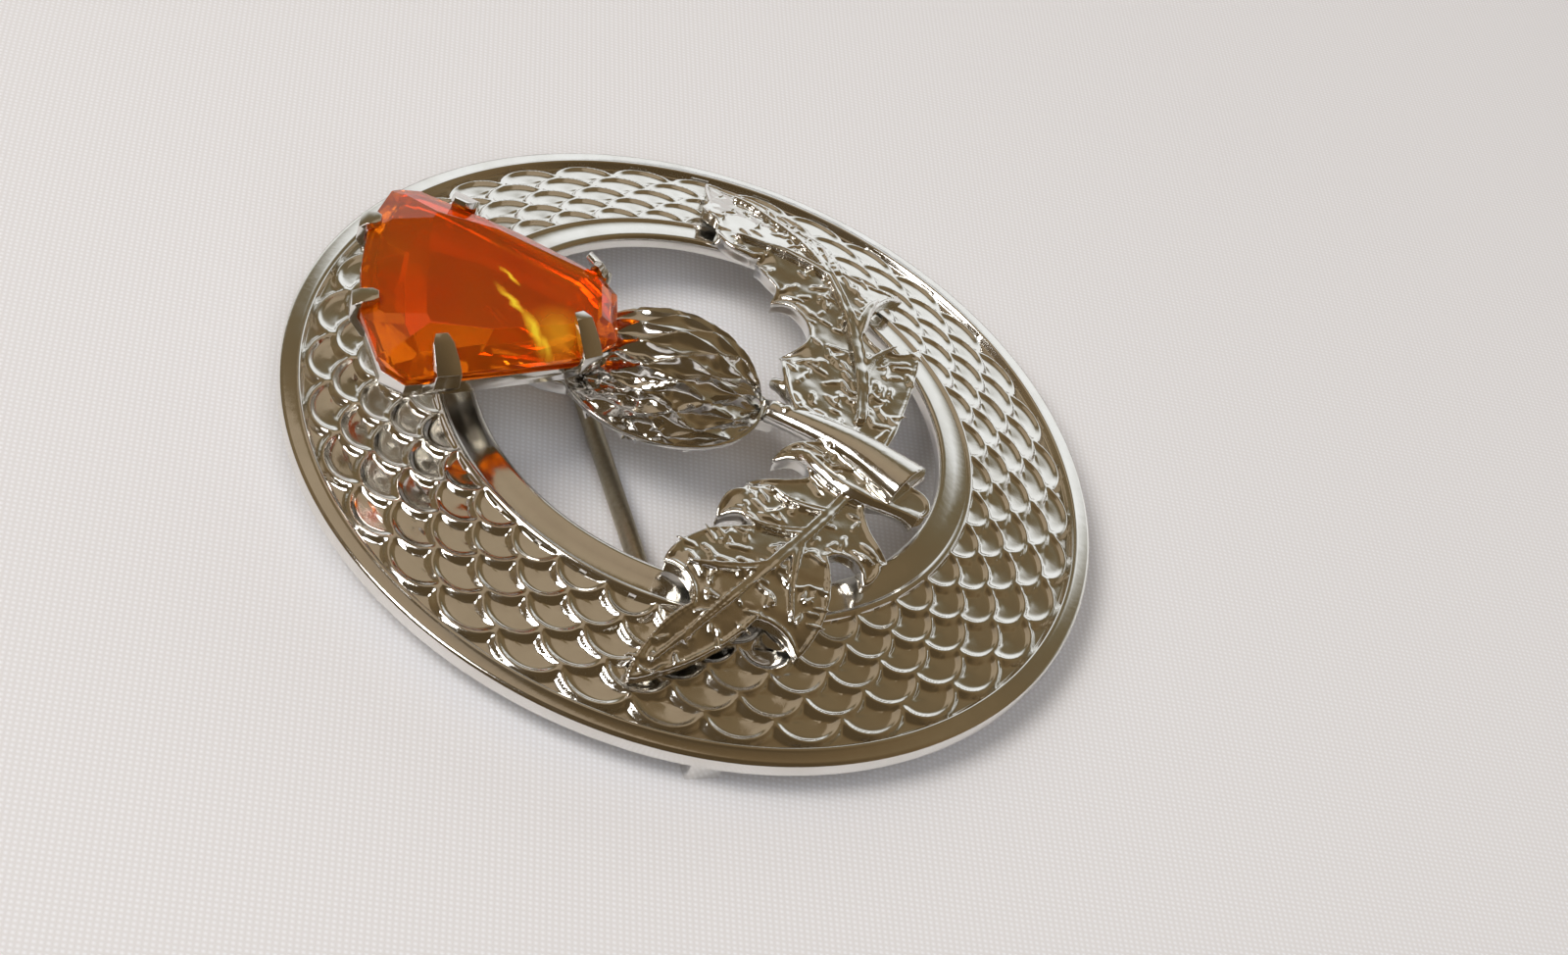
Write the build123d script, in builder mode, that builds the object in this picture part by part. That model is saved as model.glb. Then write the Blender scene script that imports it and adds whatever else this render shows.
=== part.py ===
from build123d import *
import math
import os

# Thistle brooch, lying on its pin fittings, millimetres.
# +Z up, +Y from the stem towards the flower, origin under the ring's centre on the surface it rests on.

# Ring
ring_radius = 27.0
rim_width = 1.1          # plain rim outside the outer bead
scale_field_width = 8.15  # from bead to bead
inner_band_width = 2.25   # plain band round the opening
metal = 0.95
dome_rise = 2.45         # the opening's edge above the rim
step_rise = 1.95         # the inner bead above the rim
bead_width = 0.5
bead_height = 0.16
edge_round = 0.25
foot_drop = 1.9          # underside of the rim above the resting surface

# Scales on the ring
scale_count = 35
scale_rows = 5
scale_turn = 8.6         # degrees, first scale from +X
scale_depth = 0.3
scale_ridge = 0.36
scale_margin = 0.27      # from the outer bead to the first row's crowns

# Bulb, a hollow dome with a thin flange
bulb_length = 13.1
bulb_width = 10.6
bulb_height = 4.9
bulb_wall = 0.9
bulb_sides = 20
bulb_bands = 9
bulb_shift = 3.4         # its middle from the ring's centre
flange_reach = 0.18
flange_thickness = 0.4
bract_rows = 5
bract_pitch = 2.15
bract_turn = 19.5        # degrees between neighbours in a row
bract_depth = 0.34
bract_ridge = 0.3

# Stone, seen from above a fan with its wide end up
stone_length = 15.9
stone_width = 17.4
stone_overlap = 2.3      # narrow end over the bulb's tip
stone_lift = 4.9         # girdle's underside above the ring's inner edge
girdle_height = 0.4
crown_height = 1.2
crown_step = 0.66        # height of the lower row of crown facets
crown_split = 0.42       # share of the way in to the table that the lower row takes
pavilion_height = 1.6
pavilion_step = 1.1
pavilion_edge_inset = 1.2
pavilion_floor_inset = 3.2

# Setting, a shallow cup with six claws
cup_inset = 0.6          # outside of the cup's wall inside the girdle
cup_wall = 0.4
cup_floor = 0.35
cup_height = 0.98
claw_thickness = 0.5
claw_width = 1.9
claw_grip = 1.9          # how far a claw lies over the crown
claw_stand = 0.3         # most that a claw's tip stands clear of the table

# Stem, with a bar under the bulb and a post under the setting
stem_start = -3.5        # Y, beside the bulb's flange
stem_inset = 1.8         # end of its axis inside the opening's edge
stem_side = -6.5         # X of its end
stem_head = -0.6         # X of its start
stem_flare_width = 3.9
stem_flare_height = 2.5
stem_lift = 2.75         # its axis at the flare above the bar's underside
bar_width = 2.2
bar_thickness = 1.0
bar_slope_run = 3.2      # where it climbs from under the bulb to the post
bar_end = 0.6            # beyond the stem's start
post_width = 3.6
post_length = 2.6
post_inset = 0.2         # inside the opening's edge

# Leaves
leaf_thickness = 0.95
leaf_lift = 0.6          # above the inner bead's foot
leaf_crest = 0.5         # further rise over the opening
leaf_thinning = 0.7      # share of the thickness at the tip
leaf_tip_lift = 0.15
left_tip_margin = 3.15   # from the left leaf's tip to the ring's edge
right_tip_margin = 4.1   # from the right leaf's tip to the ring's edge
rib_height = 0.28
rib_width = 0.6
vein_width = 0.4

# Pin, its hinge and its catch
pin_offset = 6.45        # from the ring's centre to the pin's axis
pin_turn = 14.4          # degrees from X
pin_radius = 0.62
pin_tip_radius = 0.33
pin_taper = 7.0
pin_neck = 0.35          # from the ears to where the round wire starts
neck_overlap = 0.6
pin_height = 1.0         # axis above the resting surface
hinge_margin = 4.2       # from the ring's edge to the hinge axis
rivet_radius = 0.4
rivet_head = 0.2
eye_radius = 0.85
eye_width = 1.1
ear_radius = 0.95
ear_thickness = 0.6
ear_foot = 0.8
hinge_plate_length = 3.0
hinge_plate_level = 1.95
catch_margin = 0.75      # from the ring's edge to the catch's outer end
catch_length = 2.9
catch_end_wall = 0.45
catch_cheek = 0.55

# Clearances
seat_gap = 0.1           # between pieces that are fixed to each other
run_gap = 0.05           # between pieces that turn

# Levels and radii that follow
rim_top = foot_drop + metal
step_top = rim_top + step_rise
inner_top = rim_top + dome_rise
bead_radius = ring_radius - rim_width
step_radius = bead_radius - scale_field_width
opening_radius = step_radius - inner_band_width
field_outer = bead_radius - bead_width / 2
field_inner = step_radius + bead_width / 2
cone_slope = math.atan2(step_rise, field_outer - field_inner)
bar_level = inner_top - 0.8
bulb_level = bar_level + bar_thickness + seat_gap
girdle_bottom = inner_top + stone_lift
girdle_top = girdle_bottom + girdle_height
cup_level = girdle_bottom - pavilion_height - seat_gap - cup_floor
stone_start = bulb_shift + bulb_length / 2 - stone_overlap


def cone_height(radius):
    """Height of the scale field's surface at a radius."""
    return rim_top + (field_outer - radius) * math.tan(cone_slope)


def polar(radius, degrees):
    """Point at a radius and an angle from +X."""
    angle = math.radians(degrees)
    return (radius * math.cos(angle), radius * math.sin(angle))


# Ring: a domed washer with a bead either side of the scale field
with BuildPart() as ring:
    with BuildSketch(Plane.XZ):
        with BuildLine():
            Polyline(
                (ring_radius, foot_drop),
                (ring_radius, rim_top - edge_round),
                (ring_radius - edge_round, rim_top),
                (bead_radius + bead_width / 2, rim_top),
                (bead_radius + bead_width / 4, rim_top + bead_height),
                (bead_radius - bead_width / 4, rim_top + bead_height),
                (field_outer, rim_top),
                (field_inner, step_top),
                (step_radius + bead_width / 4, step_top + bead_height),
                (step_radius - bead_width / 4, step_top + bead_height),
                (step_radius - bead_width / 2, step_top),
                (opening_radius + edge_round, inner_top),
                (opening_radius, inner_top - edge_round),
                (opening_radius, inner_top - metal),
                (step_radius, step_top - metal),
                (bead_radius, foot_drop),
                close=True,
            )
        make_face()
    revolve(axis=Axis.Z)

scale_pitch = 360 / scale_count
row_pitch = (field_outer - scale_margin - field_inner) / scale_rows


def scale_outline(foot_radius, last_row):
    """Outline of one scale's hollow, flat on the cone, with its foot at a radius."""
    half_ridge = scale_ridge / 2
    half_turn = math.radians(scale_pitch / 2)
    polar_points = []
    for step in range(6):
        angle = math.radians(22 + 136 * step / 5)
        turn = -(half_turn - half_ridge / foot_radius) * math.cos(angle)
        polar_points.append((turn, foot_radius + (row_pitch - half_ridge) * math.sin(angle)))
    if last_row:
        polar_points.append((polar_points[-1][0], foot_radius + half_ridge / 2))
        polar_points.append((polar_points[0][0], foot_radius + half_ridge / 2))
    else:
        # The crowns of the next row's two scales close the hollow from below
        wide = half_turn + half_ridge / foot_radius
        lower = []
        for step in range(3):
            turn = half_turn * (0.84 - 0.42 * step)
            rise = math.sqrt(1 - ((half_turn - turn) / wide) ** 2)
            lower.append((turn, foot_radius - row_pitch + (row_pitch + half_ridge) * rise))
        polar_points += lower
        polar_points += [(-turn, radius) for turn, radius in reversed(lower[:-1])]
    points = []
    for turn, radius in polar_points:
        along = (radius * math.cos(turn) - foot_radius) / math.cos(cone_slope)
        points.append((radius * math.sin(turn), along))
    return points


# Scales: hollows with flat floors, so that the ridges between them stand up
scale_hollows = []
for row in range(scale_rows):
    foot_radius = field_outer - scale_margin - (row + 1) * row_pitch
    normal = (math.sin(cone_slope), 0, math.cos(cone_slope))
    floor = Plane(
        origin=(foot_radius, 0, cone_height(foot_radius)),
        x_dir=(0, -1, 0),
        z_dir=normal,
    ).offset(-scale_depth)
    with BuildPart() as hollow:
        with BuildSketch(floor):
            with BuildLine():
                Polyline(*scale_outline(foot_radius, row == scale_rows - 1), close=True)
            make_face()
        extrude(amount=scale_depth + 1)
    first_turn = scale_turn + (row % 2) * scale_pitch / 2
    for place in range(scale_count):
        scale_hollows.append(hollow.part.rotate(Axis.Z, first_turn + scale_pitch * place))
with ring:
    add(scale_hollows, mode=Mode.SUBTRACT)

bulb_radius = bulb_width / 2
bulb_axis = bulb_level + bulb_height - bulb_radius


def long_round(margin):
    """Long round body of flat faces along the bulb's axis, larger by a margin."""
    with BuildPart() as body:
        for band in range(bulb_bands + 1):
            angle = math.radians(12 + 156 * band / bulb_bands)
            along = bulb_shift - (bulb_length / 2 + margin) * math.cos(angle)
            with BuildSketch(Plane(origin=(0, along, bulb_axis), x_dir=(1, 0, 0), z_dir=(0, 1, 0))):
                RegularPolygon((bulb_radius + margin) * math.sin(angle), bulb_sides)
        loft(ruled=True)
    return body.part


bulb_outside = long_round(0)
bulb_inside = long_round(-bulb_wall)
bulb_space = long_round(2 * seat_gap)

# Bulb: the upper part of a long round body, hollow below, on a thin flange
with BuildPart() as bulb:
    add(bulb_outside)
    split(bisect_by=Plane.XY.offset(bulb_level), keep=Keep.TOP)
    with BuildSketch(Plane.XY.offset(bulb_level)):
        with Locations((0, bulb_shift)):
            Ellipse(bulb_radius + flange_reach, bulb_length / 2 + flange_reach)
    extrude(amount=flange_thickness)


def bract_outline(width, length):
    """One bract's hollow: a pointed oval, its tip towards the flower."""
    return [
        (0, length * 0.5),
        (width * 0.3, length * 0.22),
        (width * 0.5, -length * 0.06),
        (width * 0.3, -length * 0.3),
        (0, -length * 0.5),
        (-width * 0.3, -length * 0.3),
        (-width * 0.5, -length * 0.06),
        (-width * 0.3, length * 0.22),
    ]


# Bracts: rows of hollows round the bulb, each row half a step round from the last
bract_hollows = []
for row in range(bract_rows):
    along = (row - (bract_rows - 1) / 2) * bract_pitch
    swell = math.sqrt(1 - (2 * along / bulb_length) ** 2)
    reach = bulb_radius * swell
    lean = math.atan2(4 * bulb_radius * along, bulb_length**2 * swell)
    width = math.radians(bract_turn) * reach - bract_ridge
    length = 2 * bract_pitch - bract_ridge
    count = 8 + row % 2
    for place in range(count):
        turn = math.radians((place - (count - 1) / 2) * bract_turn)
        out = Vector(math.sin(turn) * math.cos(lean), math.sin(lean), math.cos(turn) * math.cos(lean))
        seat = Vector(reach * math.sin(turn), bulb_shift + along, bulb_axis + reach * math.cos(turn))
        side = Vector(math.cos(turn), 0, -math.sin(turn))
        if seat.Z < bulb_level + flange_thickness + bract_ridge:
            continue
        with BuildPart() as hollow:
            with BuildSketch(Plane(origin=seat - out * bract_depth, x_dir=side, z_dir=out)):
                with BuildLine():
                    Polyline(*bract_outline(width, length), close=True)
                make_face()
            extrude(amount=bract_depth + 1)
        bract_hollows.append(hollow.part)
with bulb:
    add(bract_hollows, mode=Mode.SUBTRACT)
    add(bulb_inside, mode=Mode.SUBTRACT)

# Stone outline, a row for each corner of its right half from the narrow end to the middle of the
# wide end, with the table's corner inside it, as shares of half the stone's width and of its length
stone_corners = [
    # across, along, table_across, table_along
    (0.24, 0.000, 0.172, 0.082),
    (0.46, 0.110, 0.368, 0.138),
    (0.64, 0.330, 0.494, 0.349),
    (0.85, 0.580, 0.546, 0.582),
    (1.00, 0.790, 0.575, 0.736),
    (0.87, 0.910, 0.506, 0.752),
    (0.47, 0.985, 0.276, 0.758),
    (0.00, 1.000, 0.000, 0.761),
]


def stone_ring(shares, level):
    """Corners right round the stone at a level, from those of its right half."""
    right = [
        Vector(across * stone_width / 2, stone_start + along * stone_length, level)
        for across, along in shares
    ]
    return right + [Vector(-corner.X, corner.Y, level) for corner in reversed(right[:-1])]


girdle_ring = stone_ring([row[:2] for row in stone_corners], girdle_top)
table_ring = stone_ring([row[2:] for row in stone_corners], girdle_top + crown_height)
girdle_edges = list(zip(girdle_ring, girdle_ring[1:] + girdle_ring[:1]))
table_edges = list(zip(table_ring, table_ring[1:] + table_ring[:1]))
girdle_outline = [(corner.X, corner.Y) for corner in girdle_ring]


def outward(start, end):
    """Level way out of the stone across an edge."""
    return (end - start).cross(Vector(0, 0, 1)).normalized()


def crown_point(place):
    """Point where the two rows of crown facets meet inside a girdle edge."""
    middles = [(edge[0] + edge[1]) * 0.5 for edge in (girdle_edges[place], table_edges[place])]
    point = middles[0] * (1 - crown_split) + middles[1] * crown_split
    return Vector(point.X, point.Y, girdle_top + crown_step)


def facet(start, end, lower, upper):
    """Plane along an edge's way through a lower and an upper point."""
    return Plane(origin=lower, x_dir=end - start, z_dir=(end - start).cross(upper - lower).normalized())


# Stone: two rows of crown facets round a flat table, two rows below the girdle
with BuildPart() as stone:
    with BuildSketch(Plane.XY.offset(girdle_bottom - pavilion_height)):
        with BuildLine():
            Polyline(*girdle_outline, close=True)
        make_face()
    extrude(amount=pavilion_height + girdle_height + crown_height)
    for place, (start, end) in enumerate(girdle_edges):
        table_start, table_end = table_edges[place]
        below = start - Vector(0, 0, girdle_height)
        deep = below - outward(start, end) * pavilion_edge_inset - Vector(0, 0, pavilion_step)
        floor = below - outward(start, end) * pavilion_floor_inset - Vector(0, 0, pavilion_height)
        cuts = [
            facet(start, end, start, crown_point(place)),
            facet(table_start, table_end, crown_point(place), table_start),
            facet(start, end, deep, below),
            facet(start, end, floor, deep),
        ]
        for cut in cuts:
            split(bisect_by=cut, keep=Keep.BOTTOM)

# Claws, a row each: the girdle edge it holds, its place along that edge, how far it is turned
# from the edge's way in (degrees), then its width's and its grip's shares
claws = [
    # edge, place, turn, width, grip
    (0, 0.75, 0, 0.80, 0.60),
    (3, 0.20, 0, 0.90, 0.70),
    (6, 0.05, 0, 0.75, 0.35),
    (7, 0.80, 0, 0.75, 0.50),
    (10, 0.64, 0, 0.90, 0.95),
    (12, 0.95, 8, 0.76, 1.00),
]
# A claw's sections from root to tip: shares of its rise to the bend or of its reach over the crown,
# then of its width and thickness
claw_rows = [
    # rise, reach, width, thickness
    (0.00, 0.00, 1.00, 0.90),
    (0.55, 0.00, 0.96, 1.00),
    (0.92, 0.00, 0.92, 1.00),
    (1.00, 0.25, 0.89, 1.00),
    (1.00, 0.75, 0.76, 0.85),
    (1.00, 1.00, 0.45, 0.60),
]


def claw_solid(place):
    """A tapering claw that rises outside the girdle and bends in over the crown."""
    edge_index, share, turn, width_share, grip_share = claws[place]
    start, end = girdle_edges[edge_index]
    foot = start + (end - start) * share
    edge_out = outward(start, end)
    way_out = edge_out.rotate(Axis.Z, turn)
    across = way_out.cross(Vector(0, 0, 1))
    crown_tilt = crown_step / edge_out.dot(start - crown_point(edge_index))
    root_level = cup_level + cup_height / 2
    stand_off = seat_gap + claw_thickness / 2
    bend_level = girdle_top + stand_off * math.hypot(1, crown_tilt)
    top_level = girdle_top + crown_height + stand_off + claw_stand
    centres = []
    for rise, reach, width, thickness in claw_rows:
        out = stand_off - (cup_inset + stand_off) * (1 - min(rise / claw_rows[1][0], 1))
        out -= reach * (claw_grip * grip_share + stand_off)
        level = root_level + rise * (bend_level - root_level)
        if reach > 0:
            level = min(level + max(-out, 0) * crown_tilt, top_level)
        centres.append(Vector(foot.X, foot.Y, level) + way_out * out)
    with BuildPart() as claw:
        for row, (rise, reach, width, thickness) in enumerate(claw_rows):
            before = centres[max(row - 1, 0)]
            after = centres[min(row + 1, len(centres) - 1)]
            with BuildSketch(Plane(origin=centres[row], x_dir=across, z_dir=(after - before).normalized())):
                Rectangle(width * width_share * claw_width, thickness * claw_thickness)
        loft(ruled=True)
    return claw.part


claw_solids = [claw_solid(place) for place in range(len(claws))]

# Setting: a cup inside the girdle, claws up its wall and over the crown
with BuildPart() as setting:
    with BuildSketch(Plane.XY.offset(cup_level)):
        with BuildLine():
            Polyline(*girdle_outline, close=True)
        make_face()
        offset(amount=-cup_inset, kind=Kind.INTERSECTION)
    extrude(amount=cup_height)
    with BuildSketch(Plane.XY.offset(cup_level + cup_floor)):
        with BuildLine():
            Polyline(*girdle_outline, close=True)
        make_face()
        offset(amount=-(cup_inset + cup_wall), kind=Kind.INTERSECTION)
    extrude(amount=cup_height, mode=Mode.SUBTRACT)
    add(claw_solids)
    add(bulb_space, mode=Mode.SUBTRACT)

# Stem axis, a row for each section from the bulb's end to the ring's opening:
# shares of its run along Y and of its sideways reach, then of the lift, width and height
stem_rows = [
    # along, aside, lift, width, height
    (0.00, 0.00, 0.56, 0.44, 0.55),
    (0.22, 0.15, 0.65, 0.51, 0.62),
    (0.47, 0.37, 0.80, 0.64, 0.74),
    (0.72, 0.64, 0.91, 0.80, 0.88),
    (0.92, 0.90, 0.98, 0.95, 0.97),
    (1.00, 1.00, 1.00, 1.00, 1.00),
]
stem_end = -math.sqrt((opening_radius - stem_inset) ** 2 - stem_side**2)


def stem_point(along, aside):
    """Point of the stem's axis, seen from above."""
    return (stem_head + (stem_side - stem_head) * aside, stem_start + (stem_end - stem_start) * along)


# Leaf tables, a row for each lobe from the root to the tip, as shares of the leaf's length:
# the lobe's shoulder, its point and the notch after it, each along the leaf and out from it,
# then how round the notch is
left_outer = [
    # shoulder_along, shoulder_out, point_along, point_out, notch_along, notch_out, roundness
    (-0.165, 0.190, -0.092, 0.186, 0.003, 0.047, 0.10),
    (0.072, 0.120, 0.115, 0.239, 0.155, 0.233, 0.05),
    (0.195, 0.250, 0.237, 0.243, 0.275, 0.113, 0.35),
    (0.470, 0.255, 0.572, 0.272, 0.600, 0.116, 0.15),
]
left_inner = [
    (-0.040, 0.220, 0.054, 0.244, 0.056, 0.116, 0.28),
    (0.140, 0.160, 0.205, 0.232, 0.269, 0.208, 0.05),
    (0.335, 0.224, 0.388, 0.200, 0.356, 0.076, 0.25),
    (0.520, 0.178, 0.670, 0.176, 0.715, 0.028, 0.20),
]
right_outer = [
    (0.080, 0.185, 0.262, 0.310, 0.310, 0.155, 0.40),
    (0.385, 0.215, 0.465, 0.362, 0.547, 0.197, 0.12),
    (0.620, 0.216, 0.705, 0.222, 0.735, 0.165, 0.10),
]
right_inner = [
    (0.160, 0.142, 0.270, 0.100, 0.307, 0.006, 0.15),
    (0.385, -0.006, 0.461, 0.048, 0.500, 0.022, 0.10),
    (0.555, 0.038, 0.600, 0.032, 0.624, 0.013, 0.05),
    (0.655, 0.090, 0.731, 0.102, 0.783, 0.080, 0.10),
    (0.815, 0.092, 0.845, 0.092, 0.905, 0.040, 0.10),
]
# Veins, a row each: where it leaves the midrib, which side it is on (1 outer, -1 inner)
# and which lobe it runs to
left_veins = [
    # from_share, side, lobe
    (0.12, -1, 1),
    (0.24, -1, 2),
    (0.28, 1, 3),
    (0.44, -1, 3),
]
right_veins = [
    (0.14, 1, 0),
    (0.26, 1, 1),
    (0.46, 1, 2),
    (0.52, -1, 3),
]
left_leaf = {
    "root": (-0.49 * opening_radius, -0.53 * opening_radius),
    "tip": (ring_radius - left_tip_margin, 166.7),
    "on_stem": {1: (0.97, 0.96), -1: (0.72, 0.60)},
    "lobes": {1: left_outer, -1: left_inner},
    "near_tip": {1: (0.80, 0.092), -1: (0.90, 0.034)},
    "midrib": (0.50, 0.035),
    "veins": left_veins,
    "beside": 1,
}
right_leaf = {
    "root": (-0.065 * opening_radius, -0.606 * opening_radius),
    "tip": (ring_radius - right_tip_margin, -1.5),
    "on_stem": {1: (0.77, 0.70), -1: (0.22, 0.15)},
    "lobes": {1: right_outer, -1: right_inner},
    "near_tip": {1: (0.88, 0.125), -1: (0.95, 0.022)},
    "midrib": (0.52, 0.148),
    "veins": right_veins,
    "beside": -1,
}


def leaf_point(leaf, along, out, side=1):
    """Point of a leaf seen from above, from its shares along and out to a side."""
    root = Vector(*leaf["root"])
    tip = Vector(*polar(*leaf["tip"]))
    ahead = tip - root
    beside = Vector(-ahead.Y, ahead.X, 0) * (leaf["beside"] * side)
    return root + ahead * along + beside * out


def draw_side(leaf, side):
    """Draws one side of a leaf: out over each shoulder to its point and back into the notch."""
    here = Vector(*stem_point(*leaf["on_stem"][side]))
    tip = leaf_point(leaf, 1, 0)
    for row in leaf["lobes"][side]:
        shoulder_along, shoulder_out, point_along, point_out, notch_along, notch_out, roundness = row
        shoulder = leaf_point(leaf, shoulder_along, shoulder_out, side)
        point = leaf_point(leaf, point_along, point_out, side)
        notch = leaf_point(leaf, notch_along, notch_out, side)
        middle = (point + notch) * 0.5
        across = (notch - point).cross(Vector(0, 0, 1)) * roundness
        if across.dot((here + notch) * 0.5 - middle) < 0:
            across = across * -1
        ThreePointArc(here, shoulder, point)
        ThreePointArc(point, middle + across, notch)
        here = notch
    ThreePointArc(here, leaf_point(leaf, *leaf["near_tip"][side], side), tip)


def draw_rib(start, middle, end, width):
    """Draws a bowed rib that narrows to a point."""
    ahead = (end - start).normalized()
    beside = Vector(-ahead.Y, ahead.X, 0) * (width / 2)
    ThreePointArc(start + beside, middle + beside * 0.8, end)
    ThreePointArc(end, middle - beside * 0.8, start - beside)
    Line(start - beside, start + beside)


def midrib_point(leaf, share):
    """Point of a leaf's midrib, a shallow curve from root to tip."""
    bow_along, bow_out = leaf["midrib"]
    out = bow_out * (1 - ((share - bow_along) / (bow_along if share < bow_along else 1 - bow_along)) ** 2)
    return leaf_point(leaf, share, out)


def leaf_layer(thickness):
    """Layer of a thickness over the ring's dome, closer to it towards the rim."""
    tip_radius = ring_radius - left_tip_margin + 1
    tip_level = cone_height(tip_radius) + leaf_tip_lift
    middle = step_top + leaf_lift
    with BuildPart() as layer:
        with BuildSketch(Plane.XZ):
            with BuildLine():
                Polyline(
                    (0, middle + leaf_crest),
                    (opening_radius, middle + leaf_crest),
                    (step_radius, middle),
                    (tip_radius, tip_level),
                    (tip_radius, tip_level + thickness * leaf_thinning),
                    (step_radius, middle + thickness),
                    (opening_radius, middle + leaf_crest + thickness),
                    (0, middle + leaf_crest + thickness),
                    close=True,
                )
            make_face()
        revolve(axis=Axis.Z)
    return layer.part


blade_layer = leaf_layer(leaf_thickness)
rib_layer = leaf_layer(leaf_thickness + rib_height)

with BuildPart() as leaves:
    for leaf in (left_leaf, right_leaf):
        with BuildSketch(Plane.XY):
            with BuildLine():
                draw_side(leaf, 1)
                draw_side(leaf, -1)
                Line(stem_point(*leaf["on_stem"][1]), stem_point(*leaf["on_stem"][-1]))
            make_face()
        extrude(amount=inner_top + stone_lift)
    add(blade_layer, mode=Mode.INTERSECT)

with BuildPart() as ribs:
    for leaf in (left_leaf, right_leaf):
        with BuildSketch(Plane.XY):
            with BuildLine():
                draw_rib(midrib_point(leaf, 0), midrib_point(leaf, 0.5), midrib_point(leaf, 0.92), rib_width)
            make_face()
            for from_share, side, lobe in leaf["veins"]:
                point_along, point_out = leaf["lobes"][side][lobe][2:4]
                vein_start = midrib_point(leaf, from_share)
                vein_end = leaf_point(leaf, point_along * 0.85 + from_share * 0.15, point_out * 0.72, side)
                bow = (leaf_point(leaf, 1, 0) - leaf_point(leaf, 0, 0)).normalized() * rib_width
                with BuildLine():
                    draw_rib(vein_start, (vein_start + vein_end) * 0.5 + bow, vein_end, vein_width)
                make_face()
        extrude(amount=inner_top + stone_lift)
    add(rib_layer, mode=Mode.INTERSECT)

# Spray: the leaves and ribs, the flaring stem, the bar under the bulb and the post
with BuildPart() as spray:
    add(leaves.part)
    add(ribs.part)
    points = [stem_point(row[0], row[1]) for row in stem_rows]
    for place, (along, aside, lift, width, height) in enumerate(stem_rows):
        before = points[max(place - 1, 0)]
        after = points[min(place + 1, len(points) - 1)]
        way = Vector(after[0] - before[0], after[1] - before[1], 0).normalized()
        centre = (points[place][0], points[place][1], bar_level + lift * stem_lift)
        across = way.cross(Vector(0, 0, 1))
        with BuildSketch(Plane(origin=centre, x_dir=across, z_dir=way)):
            Ellipse(width * stem_flare_width / 2, height * stem_flare_height / 2)
    loft()
    post_start = opening_radius - post_inset
    post_end = post_start + post_length
    bar_top = bar_level + bar_thickness
    post_level = inner_top + seat_gap
    slope_end = post_start - bar_thickness
    slope_start = slope_end - bar_slope_run
    with BuildSketch(Plane.YZ):
        with BuildLine():
            Polyline(
                (stem_start - bar_end, bar_level),
                (slope_start, bar_level),
                (slope_end, post_level),
                (post_end, post_level),
                (post_end, post_level + bar_thickness),
                (slope_end - bar_thickness / 3, post_level + bar_thickness),
                (slope_start - bar_thickness / 3, bar_top),
                (stem_start - bar_end, bar_top),
                close=True,
            )
        make_face()
    extrude(amount=bar_width / 2, both=True)
    with BuildSketch(Plane.XY.offset(post_level)):
        with Locations((0, post_start + post_length / 2)):
            Rectangle(post_width, post_length)
    extrude(amount=cup_level - seat_gap - post_level)

# Pin line: foot of the perpendicular from the ring's centre, and the way towards the hinge
pin_way = Vector(*polar(1, pin_turn))
pin_foot = Vector(-pin_way.Y, pin_way.X, 0) * pin_offset


def chord(radius):
    """Half the chord of the pin's line in a circle."""
    return math.sqrt(radius**2 - pin_offset**2)


hinge_at = pin_foot + pin_way * chord(ring_radius - hinge_margin)
catch_end = pin_foot - pin_way * chord(ring_radius - catch_margin)
pin_length = (catch_end - hinge_at).length - catch_end_wall - 2 * seat_gap
pin_plane = Plane(origin=(hinge_at.X, hinge_at.Y, pin_height), x_dir=pin_way * -1, z_dir=(0, 0, 1))
hinge_axis = Vector(-pin_way.Y, pin_way.X, 0)


# Space that the fittings below the ring keep clear of
with BuildPart() as over_ring:
    with BuildSketch(Plane.XZ):
        with BuildLine():
            Polyline(
                (0, inner_top - metal - seat_gap),
                (opening_radius, inner_top - metal - seat_gap),
                (step_radius, step_top - metal - seat_gap),
                (bead_radius, foot_drop - seat_gap),
                (ring_radius + 1, foot_drop - seat_gap),
                (ring_radius + 1, girdle_top),
                (0, girdle_top),
                close=True,
            )
        make_face()
    revolve(axis=Axis.Z)

# Pin: a flat eye on the rivet, a short neck, a straight wire and a tapered end
side_of_pin = Plane(origin=pin_plane.origin, x_dir=pin_way * -1, z_dir=hinge_axis)
along_pin = Plane(origin=pin_plane.origin, x_dir=hinge_axis, z_dir=pin_way * -1)
wire_start = ear_radius + pin_neck
neck_length = wire_start + neck_overlap
taper_start = pin_length - pin_taper
with BuildPart() as pin_stem:
    with BuildSketch(side_of_pin):
        Circle(eye_radius)
        with Locations((neck_length / 2, 0)):
            Rectangle(neck_length, pin_radius * 1.7)
    extrude(amount=eye_width / 2, both=True)
    with BuildSketch(along_pin.offset(wire_start)):
        Circle(pin_radius)
    extrude(amount=taper_start - wire_start)
    with BuildSketch(along_pin.offset(taper_start)):
        Circle(pin_radius)
    with BuildSketch(along_pin.offset(pin_length)):
        Circle(pin_tip_radius)
    loft()
    with BuildSketch(side_of_pin):
        Circle(rivet_radius + run_gap)
    extrude(amount=eye_width, both=True, mode=Mode.SUBTRACT)

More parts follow.
